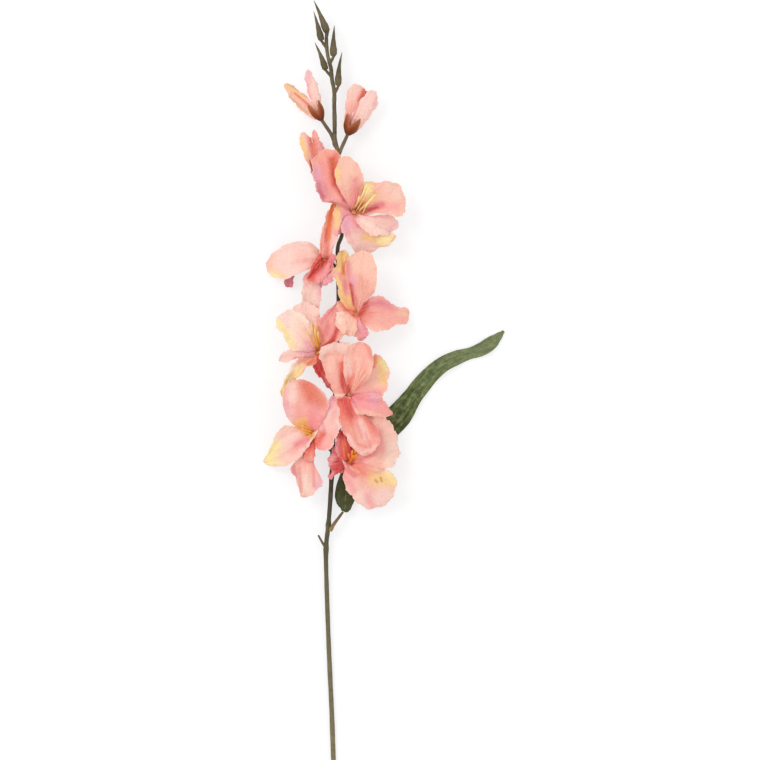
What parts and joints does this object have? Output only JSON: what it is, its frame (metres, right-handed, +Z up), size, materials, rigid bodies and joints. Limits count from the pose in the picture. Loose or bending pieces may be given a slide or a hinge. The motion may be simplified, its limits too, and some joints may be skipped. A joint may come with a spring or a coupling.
{
  "type": "gladiolus flower spray",
  "caption": "Artificial gladiolus spray: a slender stem with open salmon blooms, closed buds at the tip and a long strap leaf, lying flat.",
  "frame": {"origin": "centre of the bounding box, on the surface the spray lies on", "axes": "+Y along the stem, from its cut end to its closed buds; +Z up, the way the blooms look"},
  "size_m": [0.2756, 0.8978, 0.0588],
  "materials": {
    "stem": "matte moulded, olive to brown",
    "spike": "matte moulded, olive brown",
    "leaf": "printed woven cloth, slightly waxy",
    "leaf_stalk": "matte moulded, reddish brown",
    "calyx": "matte moulded, rust brown",
    "bud": "dyed woven cloth, peach to pink",
    "petal": "dyed woven cloth, salmon to cream and yellow",
    "stamen": "matte moulded, yellow"
  },
  "bodies": {
    "root": {"main_stem": "stem", "bud_spike": "spike", "leaf": "leaf", "leaf_stalk": "leaf_stalk", "bud_left_calyx": "calyx", "bud_left_petals": "bud", "bud_right_calyx": "calyx", "bud_right_petals": "bud", "bud_low_calyx": "calyx", "bud_low_petals": "bud", "bloom_1_petal_left": "petal", "bloom_1_petal_lower": "petal", "bloom_1_petal_lower_right": "petal", "bloom_1_petal_upper_left": "petal", "bloom_1_petal_right": "petal", "bloom_1_petal_top": "petal", "bloom_1_stamens": "stamen", "bloom_2_petal_back": "petal", "bloom_2_petal_lower": "petal", "bloom_2_petal_left": "petal", "bloom_2_petal_upper": "petal", "bloom_2_petal_right": "petal", "bloom_2_petal_inner": "petal", "bloom_2_stamens": "stamen", "bloom_3_petal_lower": "petal", "bloom_3_petal_left": "petal", "bloom_3_petal_lower_left": "petal", "bloom_3_petal_right": "petal", "bloom_3_petal_upper_left": "petal", "bloom_3_petal_top": "petal", "bloom_3_stamens": "stamen", "bloom_4_petal_lower_right": "petal", "bloom_4_petal_lower": "petal", "bloom_4_petal_lower_left": "petal", "bloom_4_petal_top": "petal", "bloom_4_petal_upper_right": "petal", "bloom_4_petal_left": "petal", "bloom_4_stamens": "stamen", "bloom_5_petal_upper_left": "petal", "bloom_5_petal_right": "petal", "bloom_5_petal_lower": "petal", "bloom_5_petal_left": "petal", "bloom_5_petal_lower_right": "petal", "bloom_5_petal_top": "petal", "bloom_5_stamens": "stamen", "bloom_6_petal_lower": "petal", "bloom_6_petal_lower_right": "petal", "bloom_6_petal_inner": "petal", "bloom_6_petal_left": "petal", "bloom_6_petal_right": "petal", "bloom_6_petal_top": "petal", "bloom_6_stamens": "stamen", "bloom_7_petal_upper": "petal", "bloom_7_petal_right": "petal", "bloom_7_petal_left": "petal", "bloom_7_petal_lower_left": "petal", "bloom_7_petal_upper_left": "petal", "bloom_7_petal_lower_right": "petal", "bloom_7_stamens": "stamen"}
  },
  "joints": []
}
